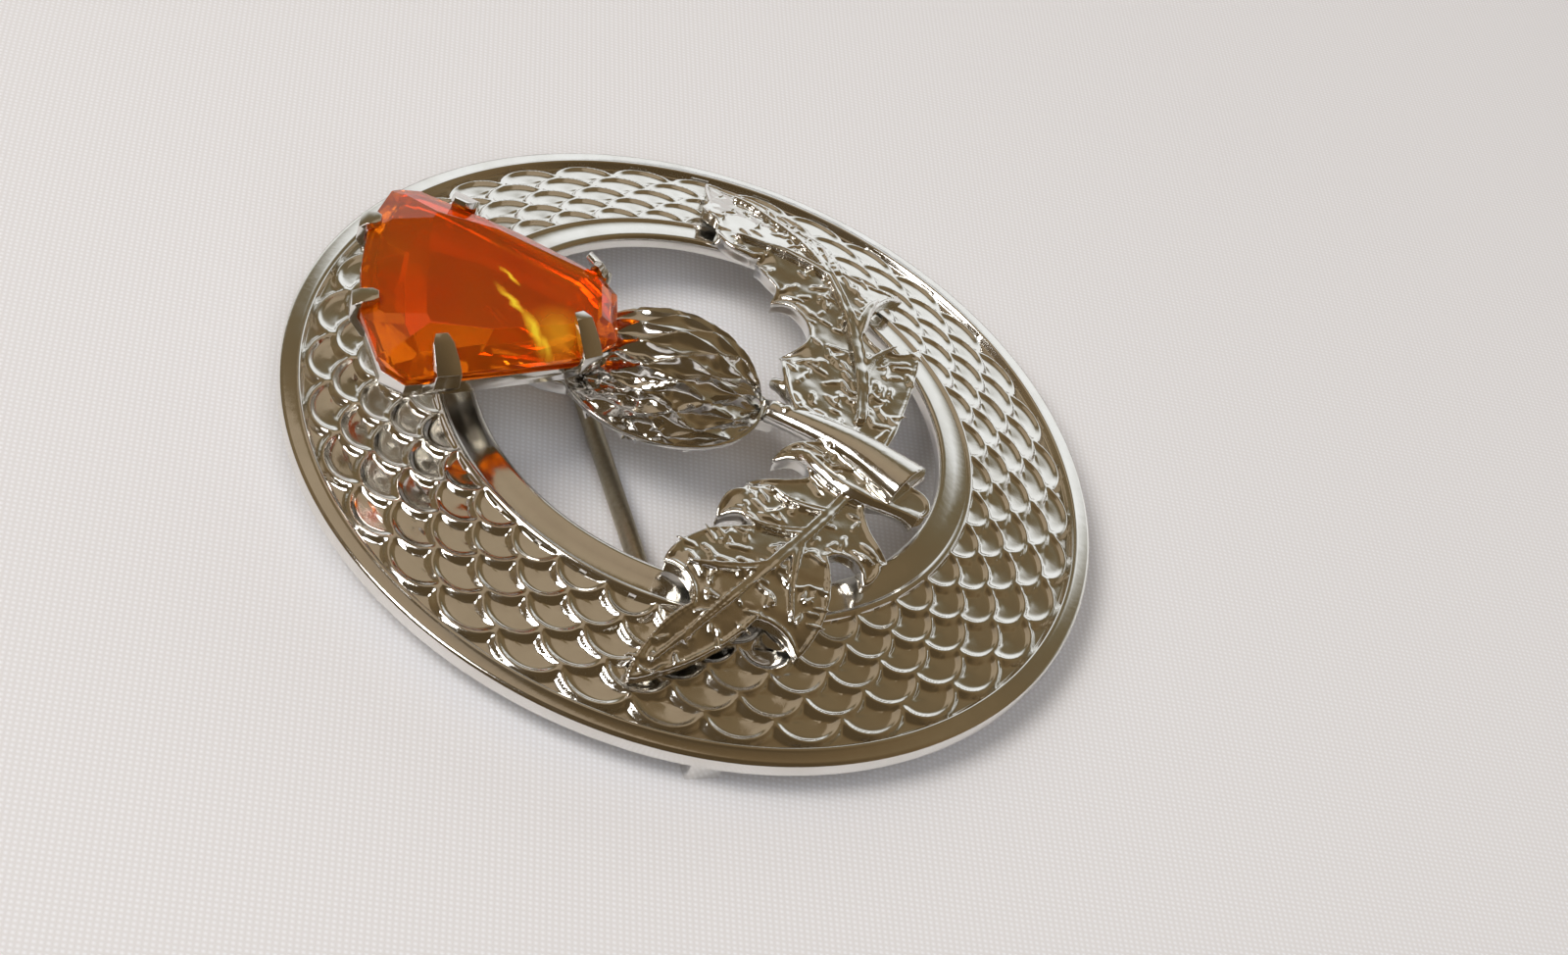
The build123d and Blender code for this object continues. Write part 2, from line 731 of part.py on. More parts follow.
# Hinge: two ears on a plate, with the rivet through them
ear_start = eye_width / 2 + run_gap
hinge_width = 2 * (ear_start + ear_thickness)
with BuildPart() as pin_hinge:
    with BuildSketch(side_of_pin):
        with BuildLine():
            Polyline(
                (-ear_foot / 2, -pin_height),
                (ear_foot / 2, -pin_height),
                (ear_radius, -ear_radius / 2),
                (ear_radius, girdle_top - pin_height),
                (-ear_radius, girdle_top - pin_height),
                (-ear_radius, -ear_radius / 2),
                close=True,
            )
        make_face()
    extrude(amount=hinge_width / 2, both=True)
    with BuildSketch(side_of_pin):
        with Locations((0, (hinge_plate_level - seat_gap) / 2 - pin_height)):
            Rectangle(4 * ear_radius, hinge_plate_level + seat_gap)
    extrude(amount=ear_start, both=True, mode=Mode.SUBTRACT)
    with BuildSketch(Plane(origin=(hinge_at.X, hinge_at.Y, hinge_plate_level), x_dir=pin_way, z_dir=(0, 0, 1))):
        Rectangle(hinge_plate_length, hinge_width)
    extrude(amount=inner_top)
    add(over_ring.part, mode=Mode.SUBTRACT)
    with BuildSketch(side_of_pin):
        Circle(rivet_radius)
    extrude(amount=hinge_width / 2 + rivet_head, both=True)

# Catch: a block under the rim with a channel that opens downwards for the pin's end
channel_radius = pin_tip_radius + (pin_radius - pin_tip_radius) * (catch_length - catch_end_wall) / pin_taper
channel_half = channel_radius + 2 * run_gap
catch_plane = Plane(origin=(catch_end.X, catch_end.Y, 0), x_dir=pin_way, z_dir=(0, 0, 1))
with BuildPart() as pin_catch:
    with BuildSketch(catch_plane):
        with Locations((catch_length / 2, 0)):
            Rectangle(catch_length, 2 * (channel_half + catch_cheek))
    extrude(amount=inner_top)
    add(over_ring.part, mode=Mode.SUBTRACT)
    with BuildSketch(catch_plane):
        with Locations((catch_end_wall + catch_length / 2, 0)):
            Rectangle(catch_length, 2 * channel_half)
    extrude(amount=pin_height + channel_half, mode=Mode.SUBTRACT)

ring.part.label = "ring"
bulb.part.label = "bulb"
stone.part.label = "stone"
setting.part.label = "setting"
spray.part.label = "spray"
pin_stem.part.label = "pin_stem"
pin_hinge.part.label = "pin_hinge"
pin_catch.part.label = "pin_catch"

os.makedirs("parts", exist_ok=True)
export_step(ring.part, "parts/ring.step")
export_step(bulb.part, "parts/bulb.step")
export_step(stone.part, "parts/stone.step")
export_step(setting.part, "parts/setting.step")
export_step(spray.part, "parts/spray.step")
export_step(pin_stem.part, "parts/pin_stem.step")
export_step(pin_hinge.part, "parts/pin_hinge.step")
export_step(pin_catch.part, "parts/pin_catch.step")
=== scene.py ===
import bpy
import math
import random
from mathutils import Matrix, Vector, noise


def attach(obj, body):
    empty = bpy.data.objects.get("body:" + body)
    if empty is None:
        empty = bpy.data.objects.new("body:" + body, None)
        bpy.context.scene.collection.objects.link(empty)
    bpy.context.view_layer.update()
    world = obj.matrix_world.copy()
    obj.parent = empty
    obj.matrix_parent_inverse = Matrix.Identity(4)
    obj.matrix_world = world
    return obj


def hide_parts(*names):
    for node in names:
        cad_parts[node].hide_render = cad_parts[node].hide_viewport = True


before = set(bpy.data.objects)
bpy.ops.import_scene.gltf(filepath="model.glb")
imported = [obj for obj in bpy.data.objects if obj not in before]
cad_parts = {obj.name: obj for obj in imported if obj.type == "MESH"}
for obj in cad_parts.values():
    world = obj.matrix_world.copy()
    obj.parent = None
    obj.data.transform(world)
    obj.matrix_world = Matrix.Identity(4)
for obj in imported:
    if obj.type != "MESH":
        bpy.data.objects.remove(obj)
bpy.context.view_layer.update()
mm = 0.001                  # the settings below are in mm, unless a note says otherwise
mergeWithin = 0.002 * mm    # points closer than this are one


# Small helpers for working on one object at a time

def pickOnly(*items):
    if bpy.context.object and bpy.context.object.mode == "EDIT":
        bpy.ops.object.mode_set(mode="OBJECT")
    bpy.ops.object.select_all(action="DESELECT")
    for item in items:
        item.select_set(True)
    bpy.context.view_layer.objects.active = items[0]


def named(name):
    item = bpy.context.object
    item.name = name
    item.data.name = name
    return item


def editSelect(item, kind, test):
    # leaves the object in edit mode with only the matching vertices, edges or faces selected
    pickOnly(item)
    bpy.ops.object.mode_set(mode="EDIT")
    bpy.ops.mesh.select_mode(type=kind)
    bpy.ops.mesh.select_all(action="DESELECT")
    bpy.ops.object.mode_set(mode="OBJECT")
    parts = {"VERT": item.data.vertices, "EDGE": item.data.edges, "FACE": item.data.polygons}[kind]
    for part in parts:
        part.select = test(part)
    bpy.ops.object.mode_set(mode="EDIT")


def placeInMesh(item):
    pickOnly(item)
    bpy.ops.object.transform_apply(location=True, rotation=True, scale=True)


def turnOutwards(item):
    editSelect(item, "FACE", lambda face: True)
    bpy.ops.mesh.remove_doubles(threshold=mergeWithin)
    bpy.ops.mesh.normals_make_consistent(inside=False)
    bpy.ops.object.mode_set(mode="OBJECT")


def meshCopy(item, name):
    twin = bpy.data.objects.new(name, item.data.copy())
    bpy.context.scene.collection.objects.link(twin)
    return twin


def nodeCopy(node, name):
    # a CAD node's loose triangles, merged, in a new object
    twin = meshCopy(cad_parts[node], name)
    twin.data.materials.clear()
    editSelect(twin, "FACE", lambda face: True)
    bpy.ops.mesh.remove_doubles(threshold=mergeWithin)
    bpy.ops.object.mode_set(mode="OBJECT")
    return twin


def mergeFlat(item):
    # triangles that lie in one plane become one face
    editSelect(item, "FACE", lambda face: True)
    bpy.ops.mesh.dissolve_limited(angle_limit=math.radians(1))
    bpy.ops.object.mode_set(mode="OBJECT")


def joinAll(items, name):
    pickOnly(*items)
    bpy.ops.object.join()
    return named(name)


def finishWith(item, kind, **settings):
    pickOnly(item)
    modifier = item.modifiers.new(kind.title(), kind)
    for key, value in settings.items():
        setattr(modifier, key, value)
    bpy.ops.object.modifier_apply(modifier=modifier.name)


# Materials

def hexColour(code):
    # sRGB hex to linear
    parts = [int(code[place:place + 2], 16) / 255 for place in (0, 2, 4)]
    return tuple(p / 12.92 if p <= 0.04045 else ((p + 0.055) / 1.055) ** 2.4 for p in parts) + (1,)


def addNode(tree, kind, settings=None, links=None):
    # settings: input or attribute name to value; links: input name to (node, output name)
    node = tree.nodes.new(kind)
    for key, value in (settings or {}).items():
        if key in node.inputs:
            node.inputs[key].default_value = value
        else:
            setattr(node, key, value)
    for key, (source, output) in (links or {}).items():
        tree.links.new(source.outputs[output], node.inputs[key])
    return node


def newMaterial(name):
    material = bpy.data.materials.new(name)
    material.use_nodes = True
    material.node_tree.nodes.clear()
    return material, material.node_tree


def mixTones(tree, first, second, share):
    # a mix node's share is its input 0, its colours are inputs 6 and 7 and output 2
    mix = addNode(tree, "ShaderNodeMix", {"data_type": "RGBA"})
    mix.inputs[6].default_value = hexColour(first)
    mix.inputs[7].default_value = hexColour(second)
    tree.links.new(share, mix.inputs[0])
    return mix


def coverWith(tree, tone, settings, links):
    # the material's surface, coloured by a mix node
    surface = addNode(tree, "ShaderNodeBsdfPrincipled", settings, links)
    tree.links.new(tone.outputs[2], surface.inputs["Base Color"])
    addNode(tree, "ShaderNodeOutputMaterial", {}, {"Surface": (surface, "BSDF")})


# chrome-plated casting: mirror bright, a little warmer and duller in clouds, with the cast skin's
# slight ripples under the plate
platedFinish = {
    "bright": "F1F0EE",
    "warm": "DBD8D1",
    "cloudSize": 3.0,       # mm across the faint tone changes
    "cloudRange": (0.3, 0.75),  # clouds' values at the brightest and the dullest polish
    "roughness": (0.07, 0.20),
    "skinSize": 0.55,       # mm across the cast skin's ripples
    "skinDepth": 0.010,     # mm
    "skinStrength": 0.6,
}
platedCasting, tree = newMaterial("plated_casting")
place = addNode(tree, "ShaderNodeTexCoord")
clouds = addNode(
    tree, "ShaderNodeTexNoise",
    {"Scale": 1 / (platedFinish["cloudSize"] * mm), "Detail": 3.0, "Roughness": 0.6},
    {"Vector": (place, "Object")},
)
tone = mixTones(tree, platedFinish["bright"], platedFinish["warm"], clouds.outputs["Fac"])
polish = addNode(
    tree, "ShaderNodeMapRange",
    {
        "From Min": platedFinish["cloudRange"][0], "From Max": platedFinish["cloudRange"][1],
        "To Min": platedFinish["roughness"][0], "To Max": platedFinish["roughness"][1],
    },
    {"Value": (clouds, "Fac")},
)
skin = addNode(
    tree, "ShaderNodeTexNoise",
    {"Scale": 1 / (platedFinish["skinSize"] * mm), "Detail": 4.0, "Roughness": 0.55},
    {"Vector": (place, "Object")},
)
bump = addNode(
    tree, "ShaderNodeBump",
    {"Strength": platedFinish["skinStrength"], "Distance": platedFinish["skinDepth"] * mm},
    {"Height": (skin, "Fac")},
)
coverWith(tree, tone, {"Metallic": 1.0}, {"Roughness": (polish, "Result"), "Normal": (bump, "Normal")})
print("metal finish made")


# Ring: a lathe-like profile, with the overlapping scales raised in its broad sloping field

ringShape = {
    "steps": 980,           # 28 to a scale
    "profile": [
        # radius, height
        (27.00, 1.90), (27.00, 2.55), (26.94, 2.76), (26.74, 2.85),
        (26.16, 2.86), (26.04, 2.96), (25.88, 3.01), (25.74, 2.94), (25.62, 2.62),
        (18.05, 4.54),
        (17.97, 4.72), (17.85, 4.93), (17.68, 4.97), (17.54, 4.85), (17.44, 4.83),
        (16.60, 5.07), (15.95, 5.26), (15.72, 5.28), (15.54, 5.18), (15.50, 4.90),
        (15.50, 4.36), (17.75, 3.86), (21.80, 2.88), (25.90, 1.91),
    ],
    "field": (25.62, 2.62),  # radius and height of the sloping field's outer edge
    "slope": 14.3,          # degrees
    "fieldSteps": 64,       # rings of faces across the field, the profile's one long stretch
    "longStretch": 5,       # what counts as one
    "count": 35,            # scales in a row
    "rows": 5,
    "turn": 8.6,            # degrees, first scale from +X
    "outerRadius": 25.38,   # the first row's crowns
    "rowPitch": 1.486,
    "widest": 0.3,          # share of a row from its foot, where a scale fills its part of the circle
    "fieldNear": 0.05,      # a point this close to the slope is on the field
    "fieldPast": (0.15, 0.20),  # how far scales reach past the inner and the outer row
    "relief": [
        # distance in from a scale's crown, height there; below zero is out over the next scale
        (-0.24, -0.12), (-0.16, 0.00), (-0.06, 0.18), (0.04, 0.21), (0.16, 0.15), (0.30, 0.04),
        (0.50, -0.01), (0.90, -0.05), (1.50, -0.12),
    ],
    "smoothAngle": 62,      # degrees; sharper edges stay crisp
}


def latheRing(shape):
    radius, height = shape["profile"][0]
    bpy.ops.mesh.primitive_circle_add(
        vertices=shape["steps"], radius=radius * mm, fill_type="NOTHING", location=(0, 0, height * mm)
    )
    item = named("ring_casting")
    placeInMesh(item)
    bpy.ops.object.mode_set(mode="EDIT")
    bpy.ops.mesh.select_all(action="SELECT")
    profile = []
    for here, there in zip(shape["profile"], shape["profile"][1:]):
        cuts = shape["fieldSteps"] if here[0] - there[0] > shape["longStretch"] else 1
        for step in range(1, cuts + 1):
            profile.append(tuple(a + (b - a) * step / cuts for a, b in zip(here, there)))
    for nextRadius, nextHeight in profile:
        bpy.ops.mesh.extrude_edges_move(TRANSFORM_OT_translate={"value": (0, 0, (nextHeight - height) * mm)})
        grow = nextRadius / radius
        bpy.ops.transform.resize(value=(grow, grow, 1), center_override=(0, 0, nextHeight * mm))
        radius, height = nextRadius, nextHeight

    def onEndLoop(edge):
        # the first and last loops, which close the underside
        near = 0.001
        ends = [item.data.vertices[index].co / mm for index in edge.vertices]
        return any(
            all(abs(end.z - loopHeight) < near and abs(end.xy.length - loopRadius) < near for end in ends)
            for loopRadius, loopHeight in (shape["profile"][0], shape["profile"][-1])
        )

    editSelect(item, "EDGE", onEndLoop)
    bpy.ops.mesh.bridge_edge_loops()
    bpy.ops.object.mode_set(mode="OBJECT")
    turnOutwards(item)
    return item


def reliefHeight(relief, inwards):
    # straight lines between the table's rows
    if inwards <= relief[0][0]:
        return relief[0][1]
    for (near, nearHeight), (far, farHeight) in zip(relief, relief[1:]):
        if inwards <= far:
            return nearHeight + (farHeight - nearHeight) * (inwards - near) / (far - near)
    return relief[-1][1]


def raiseScales(item, shape):
    pitch = 360 / shape["count"]
    rowPitch = shape["rowPitch"]
    inner = shape["outerRadius"] - shape["rows"] * rowPitch
    fieldRadius, fieldHeight = shape["field"]
    innerPast, outerPast = shape["fieldPast"]
    for vertex in item.data.vertices:
        radius = vertex.co.xy.length / mm
        coneHeight = fieldHeight + (fieldRadius - radius) * math.tan(math.radians(shape["slope"]))
        onField = abs(vertex.co.z / mm - coneHeight) < shape["fieldNear"]
        if not (onField and inner - innerPast < radius < shape["outerRadius"] + outerPast):
            continue
        turn = math.degrees(math.atan2(vertex.co.y, vertex.co.x))
        row = min(max(math.floor((shape["outerRadius"] - radius) / rowPitch), 0), shape["rows"] - 1)
        heights = []
        for owner in (row, row + 1):
            # the scale of this row and of the next row in, whose crown may reach here
            if owner == shape["rows"]:
                continue
            foot = shape["outerRadius"] - (owner + 1) * rowPitch
            halfWidth = math.pi * (foot + shape["widest"] * rowPitch) / shape["count"]
            off = (turn - shape["turn"] - (owner % 2) / 2 * pitch + pitch / 2) % pitch - pitch / 2
            across = math.radians(off) * radius / halfWidth
            along = max((radius - foot) / rowPitch, 0)
            inwards = (1 - math.hypot(across, along)) * rowPitch
            heights.append(reliefHeight(shape["relief"], inwards))
        vertex.co.z += max(heights) * mm


ring = latheRing(ringShape)
raiseScales(ring, ringShape)
pickOnly(ring)
bpy.ops.object.shade_smooth_by_angle(angle=math.radians(ringShape["smoothAngle"]))
ring.data.materials.append(platedCasting)
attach(ring, "brooch")
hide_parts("ring")
print("ring made:", len(ring.data.polygons), "faces")


# Bulb: a hollow dome on a thin flange, its bracts pressed in between two crossing families of ridges

bulbShape = {
    "middle": (0, 3.4, 5.2),
    "radius": 5.25,
    "halfLength": 6.45,
    "end": 88,              # degrees from the middle to where an end closes
    "side": 104,            # degrees from the top to the lower border
    "cutHeight": 5.66,      # the dome's open underside
    "wall": 0.7,
    "flangeReach": 0.22,
    "flangeRise": 0.36,
    "flangeSteps": 160,
    "flangeWall": 0.88,     # the flange's own width
    "flangeEdge": 0.1,
    "turn": 19.5,           # degrees round the bulb that a bract takes
    "length": 41,           # degrees along it
    "sway": (6, 5),         # degrees by which the ridges wander, along and round
    "swaySize": 3.0,
    "cells": 16,            # bracts along a side of the flat grid that is wrapped round
    "cuts": 14,             # faces along a bract's edge
    "dish": (0.38, 0.75),   # depth of a bract's hollow and how steeply its sides fall
    "lean": (0.12, 0.6),    # how much higher its floor is at the flower's end, and the same for that
    "crest": 0.10,          # height of the thin ridge round a bract
    "crestShare": 0.12,     # and its reach, as a share of the bract
    "crumple": (0.05, 0.34),  # height of the creases pressed into it, least and most
    "creaseSize": 1.1,
    "creasedSide": 60,      # degrees round to the near side, where they are highest
    "creasedFrom": -30,     # degrees along from the middle, where they start to grow
    "creasedRun": 50,       # and over how many they do
    "smoothAngle": 75,
}


def bulbRelief(shape, turn, along, place):
    u = turn / shape["turn"] + along / shape["length"]
    v = along / shape["length"] - turn / shape["turn"]
    u -= math.floor(u)
    v -= math.floor(v)
    inside = max(math.sin(math.pi * u) * math.sin(math.pi * v), 0)
    lean, leanPower = shape["lean"]
    dish, dishPower = shape["dish"]
    height = lean * (u + v - 1) * inside ** leanPower - dish * inside ** dishPower
    height += shape["crest"] * max(1 - min(u, 1 - u, v, 1 - v) / shape["crestShare"], 0)
    # the near side by the setting is creased the most
    bySide = min(max(-turn / shape["creasedSide"], 0), 1)
    byEnd = min(max((along - shape["creasedFrom"]) / shape["creasedRun"], 0), 1)
    least, most = shape["crumple"]
    crease = 0.4 - 2 * abs(noise.noise(place / shape["creaseSize"]))   # sharp folds, level on average
    return height + (least + (most - least) * bySide * byEnd) * crease


def pressBulb(item, shape):
    # the grid's X and Y count bracts along the two families of ridges
    for vertex in item.data.vertices:
        along = (vertex.co.x + vertex.co.y) / 2 * shape["length"]
        turn = (vertex.co.x - vertex.co.y) / 2 * shape["turn"]
        slope, side = math.radians(along), math.radians(turn)
        spot = Vector((slope, side, 0)) * shape["radius"] / shape["swaySize"]
        elsewhere = spot + Vector((0, 0, 7))   # far enough off that the two sways differ
        slope += math.radians(shape["sway"][0]) * math.cos(slope) * noise.noise(spot)
        side += math.radians(shape["sway"][1]) * noise.noise(elsewhere)
        way = Vector((math.cos(slope) * math.sin(side), math.sin(slope), math.cos(slope) * math.cos(side)))
        size = Vector((shape["radius"], shape["halfLength"], shape["radius"]))
        lift = bulbRelief(shape, turn, along, way * size)
        vertex.co = (Vector(shape["middle"]) + way * size + way * lift) * mm


bpy.ops.mesh.primitive_grid_add(
    x_subdivisions=bulbShape["cells"] * bulbShape["cuts"],
    y_subdivisions=bulbShape["cells"] * bulbShape["cuts"],
    size=bulbShape["cells"],
)
bulb = named("bulb_casting")
bpy.ops.object.mode_set(mode="EDIT")
endAt = bulbShape["end"] / bulbShape["length"]
sideAt = bulbShape["side"] / bulbShape["turn"]
for x, y in ((endAt, endAt), (-endAt, -endAt), (sideAt, -sideAt), (-sideAt, sideAt)):
    bpy.ops.mesh.select_all(action="SELECT")
    bpy.ops.mesh.bisect(plane_co=(x, y, 0), plane_no=(x, y, 0), clear_outer=True)
bpy.ops.object.mode_set(mode="OBJECT")
pressBulb(bulb, bulbShape)
lastSlope = math.radians(bulbShape["end"] - 0.5)   # what lies past it merges to a point
for way in (1, -1):
    lastY = bulbShape["middle"][1] + way * bulbShape["halfLength"] * math.sin(lastSlope)
    editSelect(bulb, "VERT", lambda vertex: way * (vertex.co.y / mm - lastY) > 0)
    bpy.ops.mesh.merge(type="CENTER")
    bpy.ops.object.mode_set(mode="OBJECT")
editSelect(bulb, "FACE", lambda face: True)
bpy.ops.mesh.bisect(plane_co=(0, 0, bulbShape["cutHeight"] * mm), plane_no=(0, 0, 1), clear_inner=True)
bpy.ops.object.mode_set(mode="OBJECT")
turnOutwards(bulb)
finishWith(bulb, "SOLIDIFY", thickness=bulbShape["wall"] * mm, offset=-1)
bpy.ops.mesh.primitive_cylinder_add(
    vertices=bulbShape["flangeSteps"], radius=mm, depth=bulbShape["flangeRise"] * mm, end_fill_type="NOTHING"
)
flange = named("bulb_flange")
flange.scale = (
    bulbShape["radius"] + bulbShape["flangeReach"], bulbShape["halfLength"] + bulbShape["flangeReach"], 1
)
flange.location = (
    0, bulbShape["middle"][1] * mm, (bulbShape["cutHeight"] + bulbShape["flangeRise"] / 2) * mm
)
placeInMesh(flange)
finishWith(flange, "SOLIDIFY", thickness=bulbShape["flangeWall"] * mm, offset=-1, use_even_offset=True)
finishWith(flange, "BEVEL", width=bulbShape["flangeEdge"] * mm, segments=2, limit_method="ANGLE")
bulb = joinAll([bulb, flange], "bulb_casting")
pickOnly(bulb)
bpy.ops.object.shade_smooth_by_angle(angle=math.radians(bulbShape["smoothAngle"]))
bulb.data.materials.append(platedCasting)
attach(bulb, "brooch")
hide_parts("bulb")
print("bulb made:", len(bulb.data.polygons), "faces")


# Spray: the stem and leaves as one casting, with raised leaf edges, veins and chased marks

sprayShape = {
    "leafTop": [(0, 6.85), (15.5, 6.85), (17.75, 6.35), (24.85, 3.88)],   # radius, height
    "ribRise": 0.28,
    "rimRadius": 0.15,
    "ribLineRadius": 0.09,
    "midribs": [
        # start, middle and end of each leaf's midrib
        ((-7.60, -8.22), (-15.88, -1.91), (-22.10, 4.23)),
        ((-1.01, -9.39), (12.24, -8.53), (21.38, -2.38)),
    ],
    "midribGap": 0.22,      # from the midrib's middle to each of its two raised lines
    "midribRadius": 0.10,
    "midribTaper": (1.1, 0.6),  # share of gap and radius at the midrib's start and end
    "midribSink": 0.02,     # how far a line's middle lies below the ribs' tops
    "marks": 260,
    "markWave": (0, 0.34, -0.30, 0.26, 0),  # how far aside, along a mark a millimetre long
    "markRadius": 0.12,
    "markEnds": 0.6,        # share of that at a mark's ends
    "markLift": 0.06,
    "markLength": (0.6, 1.5),
    "markWidth": (0.6, 1.4),  # width over length, as shares of the mark above
    "folds": [
        # folded leaf edges beside the stem: x, y, z, radius
        [
            (-4.9, -3.9, 6.5, 0.25), (-4.6, -5.1, 6.9, 0.35), (-5.9, -5.9, 7.0, 0.50),
            (-6.9, -6.9, 7.0, 0.55), (-7.9, -8.2, 7.0, 0.70), (-8.3, -9.9, 6.9, 0.45),
            (-8.6, -11.6, 6.8, 0.50), (-8.9, -12.4, 6.5, 0.85),
        ],
        [
            (1.9, -3.9, 6.1, 0.35), (1.4, -4.4, 6.5, 0.50), (0.9, -4.8, 6.2, 0.40),
            (0.3, -5.3, 6.6, 0.55), (-0.6, -5.4, 6.3, 0.45),
        ],
    ],
    "voxel": 0.095,
    "smoothing": (0.5, 2),  # factor, times
    "faces": 180000,        # most triangles after thinning
    "ripple": [(2.6, 0.13), (0.8, 0.035)],   # size and height of the hammered skin's waves
    "stemAxis": [
        (-0.6, -3.5), (-1.5, -5.4), (-2.8, -7.5), (-4.4, -9.6), (-5.9, -11.4), (-6.5, -12.1),
    ],
    "smoothReach": (1.7, 2.6),  # from the stem's axis: still smooth, fully hammered
    "curls": [
        # place of a lobe's tip, how far in from it the curl starts, how far the tip drops
        (-5.10, -3.67, 2.2, 0.9), (-7.62, -1.78, 2.0, 0.8), (-10.91, 0.22, 2.2, 0.8),
        (-15.65, 3.71, 1.6, 0.3), (-12.67, -10.37, 1.4, 0.3), (-14.63, -8.76, 1.6, 0.35),
        (-20.25, -4.63, 2.0, 0.3),
        (4.57, -4.63, 2.0, 0.8), (9.59, -4.19, 1.8, 0.7), (13.05, -3.35, 1.4, 0.6),
        (15.57, -0.53, 1.6, 0.3), (7.98, -14.50, 1.8, 0.3), (13.29, -13.96, 1.8, 0.3),
        (17.79, -8.50, 1.6, 0.3),
    ],
}


def leafTop(shape, point):
    # height of the leaves' flat top over a place, in mm
    radius = point.xy.length / mm
    for (nearer, nearHeight), (farther, farHeight) in zip(shape["leafTop"], shape["leafTop"][1:]):
        if radius <= farther:
            break
    return nearHeight + (farHeight - nearHeight) * (radius - nearer) / (farther - nearer)


def facesOnTop(item, shape, kind):
    # faces of the leaves' tops, of the ribs' tops, or of both with the ribs' sides
    near = 0.04   # mm
    found = set()
    for face in item.data.polygons:
        rises = []
        for index in face.vertices:
            point = item.data.vertices[index].co
            rises.append(point.z / mm - leafTop(shape, point))
        onLeaf = all(abs(rise) < near for rise in rises)
        onRib = all(abs(rise - shape["ribRise"]) < near for rise in rises)
        upright = abs(face.normal.z) < 0.05
        ribSide = upright and all(-near < rise < shape["ribRise"] + near for rise in rises)
        if (kind != "rib" and onLeaf) or (kind != "leaf" and onRib) or (kind == "both" and ribSide):
            found.add(face.index)
    return found


def rimRound(item, faces, radius, name):
    # a round bead along the border of some of an item's faces
    twin = meshCopy(item, name)
    editSelect(twin, "FACE", lambda face: face.index in faces)
    bpy.ops.mesh.select_all(action="INVERT")
    bpy.ops.mesh.delete(type="FACE")
    bpy.ops.mesh.select_all(action="SELECT")
    bpy.ops.mesh.region_to_loop()
    bpy.ops.mesh.select_mode(type="EDGE")
    bpy.ops.mesh.select_all(action="INVERT")
    bpy.ops.mesh.delete(type="EDGE")
    bpy.ops.mesh.select_all(action="SELECT")
    bpy.ops.mesh.delete(type="ONLY_FACE")
    bpy.ops.object.mode_set(mode="OBJECT")
    pickOnly(twin)
    bpy.ops.object.convert(target="CURVE")
    twin = bpy.context.object
    twin.data.bevel_depth = radius * mm
    twin.data.bevel_resolution = 1
    twin.data.use_fill_caps = True
    bpy.ops.object.convert(target="MESH")
    return bpy.context.object


def chasedMark(shape):
    # one short wavy raised line along X, a millimetre long
    bpy.ops.curve.primitive_nurbs_path_add()
    mark = named("chased_mark")
    last = len(shape["markWave"]) - 1
    for step, (point, aside) in enumerate(zip(mark.data.splines[0].points, shape["markWave"])):
        point.co = ((step / last - 0.5) * mm, aside * mm, 0, 1)
        point.radius = 1 if 0 < step < last else shape["markEnds"]
    mark.data.resolution_u = 3
    mark.data.bevel_depth = shape["markRadius"] * mm
    mark.data.bevel_resolution = 0
    mark.data.use_fill_caps = True
    pickOnly(mark)
    bpy.ops.object.convert(target="MESH")
    return bpy.context.object


def scatterMarks(item, faces, shape):
    mark = chasedMark(shape)
    chance = random.Random(11)
    indices = sorted(faces)
    areas = [item.data.polygons[index].area for index in indices]
    placed = []
    for number in range(shape["marks"]):
        face = item.data.polygons[chance.choices(indices, areas)[0]]
        corners = [item.data.vertices[index].co for index in face.vertices]
        first, second = sorted((chance.random(), chance.random()))
        spot = corners[0] * first + corners[1] * (second - first) + corners[2] * (1 - second)
        length = chance.uniform(*shape["markLength"])
        turn = Matrix.Rotation(chance.uniform(0, 2 * math.pi), 4, "Z")
        stretch = Matrix.Diagonal((length, length * chance.uniform(*shape["markWidth"]), 1, 1))
        twin = meshCopy(mark, "chased_mark")
        spot.z += shape["markLift"] * mm
        twin.data.transform(Matrix.Translation(spot) @ turn @ stretch)
        placed.append(twin)
    bpy.data.objects.remove(mark)
    return placed


def foldedEdge(points):
    # a lumpy rounded strip along some points
    bpy.ops.curve.primitive_nurbs_path_add()
    fold = named("folded_edge")
    spline = fold.data.splines[0]
    spline.points.add(len(points) - len(spline.points))
    for point, (x, y, z, radius) in zip(spline.points, points):
        point.co = (x * mm, y * mm, z * mm, 1)
        point.radius = radius
    spline.order_u = 3
    spline.use_endpoint_u = True
    fold.data.resolution_u = 5
    fold.data.bevel_depth = mm
    fold.data.bevel_resolution = 2
    fold.data.use_fill_caps = True
    pickOnly(fold)
    bpy.ops.object.convert(target="MESH")
    return bpy.context.object


